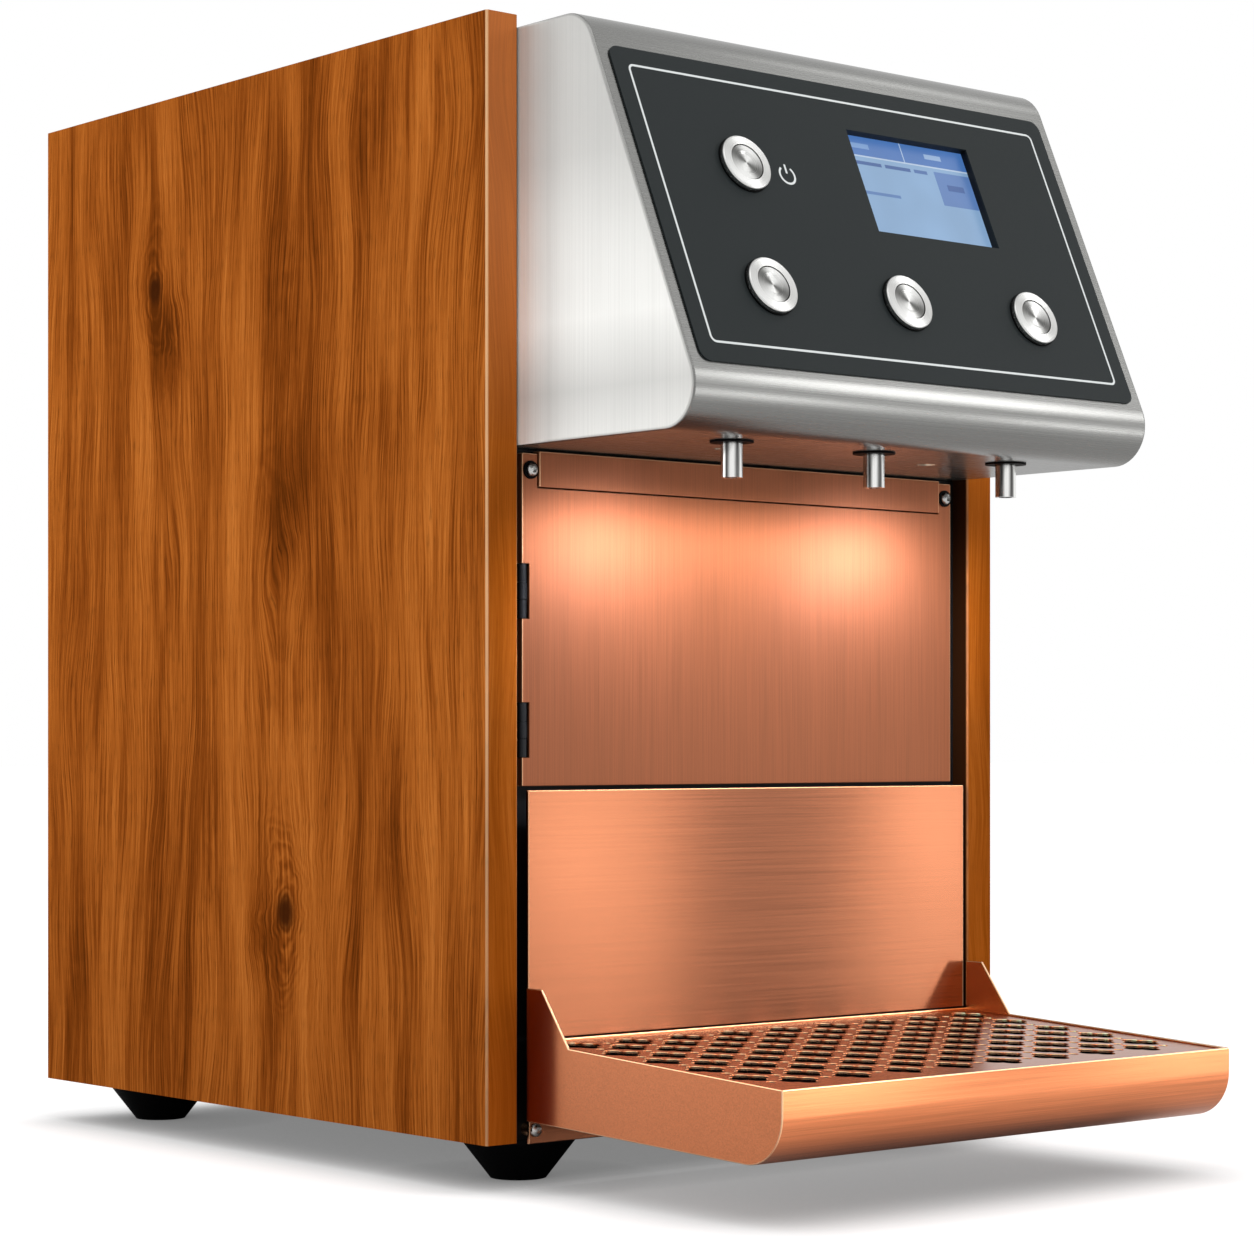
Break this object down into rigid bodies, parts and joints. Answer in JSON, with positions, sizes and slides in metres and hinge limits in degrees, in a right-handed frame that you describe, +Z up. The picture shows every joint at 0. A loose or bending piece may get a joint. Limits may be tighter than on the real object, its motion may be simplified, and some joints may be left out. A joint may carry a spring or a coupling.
{
  "type": "mulled wine dispenser",
  "caption": "Countertop hot wine dispenser with wooden sides, a steel control head with push buttons, display and nozzles, a copper cup bay and a removable drip tray.",
  "frame": {"origin": "on the table, in the middle of the footprint", "axes": "+X to the right seen from the front, +Y to the back, +Z up"},
  "size_m": [0.3, 0.511, 0.486],
  "materials": {
    "wood": "satin walnut-like veneer",
    "steel": "vertically brushed",
    "bright_steel": "turned and polished",
    "sheet_steel": "zinc plated",
    "copper": "brushed copper",
    "black_metal": "satin black",
    "fascia": "matte charcoal print",
    "black_plastic": "fine grain",
    "display": "lit blue screen",
    "black_rubber": "matte",
    "hose": "translucent silicone",
    "lamp": "lit lens",
    "heater": "cast",
    "board": "solder resist",
    "pump": "moulded"
  },
  "bodies": {
    "cabinet": {"left_side_panel": "wood", "right_side_panel": "wood", "base_plate": "sheet_steel", "front_frame": "black_metal", "rear_cover": "sheet_steel", "top_cover": "steel", "head_shell": "steel", "control_fascia": "fascia", "display_bezel": "black_plastic", "display_panel": "display", "power_switch_body": "bright_steel", "left_switch_body": "bright_steel", "centre_switch_body": "bright_steel", "right_switch_body": "bright_steel", "switch_nuts": "sheet_steel", "switch_seals": "black_rubber", "left_nozzle": "bright_steel", "centre_nozzle": "bright_steel", "right_nozzle": "bright_steel", "nozzle_grommets": "black_rubber", "bay_lamps": "lamp", "frame_hinge_leaves": "black_metal", "hinge_pins": "sheet_steel", "header_strip": "copper", "backsplash": "copper", "base_strip": "copper", "base_strip_screws": "bright_steel", "tray_hanger": "sheet_steel", "front_left_foot": "black_rubber", "front_right_foot": "black_rubber", "rear_left_foot": "black_rubber", "rear_right_foot": "black_rubber", "foot_screws": "sheet_steel", "pump_shelf": "sheet_steel", "shelf_posts": "sheet_steel", "left_pump": "pump", "centre_pump": "pump", "right_pump": "pump", "flow_heater": "heater", "supply_hoses": "hose", "heater_hoses": "hose", "nozzle_hoses": "hose", "power_supply": "heater", "control_board": "board", "mains_inlet": "black_plastic", "hose_inlets": "bright_steel", "cover_screws": "sheet_steel", "panel_screws": "sheet_steel"},
    "door": {"service_door": "copper", "door_hinge_leaves": "black_metal", "door_screws": "bright_steel", "door_washers": "black_rubber"},
    "tray": {"drip_tray": "copper"},
    "grille": {"drip_grille": "copper", "grille_legs": "copper"},
    "power_cap": {"power_button": "bright_steel"},
    "left_cap": {"left_portion_button": "bright_steel"},
    "centre_cap": {"centre_portion_button": "bright_steel"},
    "right_cap": {"right_portion_button": "bright_steel"}
  },
  "joints": [
    {"name": "power_press", "type": "slide", "parent": "cabinet", "child": "power_cap", "axis": [0, 0.9164, -0.4003], "range_m": [0, 0.0018], "stiffness_N_per_m": 1500, "springref_m": -0.001},
    {"name": "left_press", "type": "slide", "parent": "cabinet", "child": "left_cap", "axis": [0, 0.9164, -0.4003], "range_m": [0, 0.0018], "stiffness_N_per_m": 1500, "springref_m": -0.001},
    {"name": "centre_press", "type": "slide", "parent": "cabinet", "child": "centre_cap", "axis": [0, 0.9164, -0.4003], "range_m": [0, 0.0018], "stiffness_N_per_m": 1500, "springref_m": -0.001},
    {"name": "right_press", "type": "slide", "parent": "cabinet", "child": "right_cap", "axis": [0, 0.9164, -0.4003], "range_m": [0, 0.0018], "stiffness_N_per_m": 1500, "springref_m": -0.001},
    {"name": "door_swing", "type": "hinge", "parent": "cabinet", "child": "door", "pos_m": [-0.1265, -0.0917, 0.2196], "axis": [0, 0, -1], "range_deg": [0, 105]},
    {"name": "tray_lift", "type": "slide", "parent": "cabinet", "child": "tray", "axis": [0, 0, 1], "range_m": [0, 0.012]},
    {"name": "grille_lift", "type": "slide", "parent": "tray", "child": "grille", "axis": [0, 0, 1], "range_m": [0, 0.06]}
  ]
}
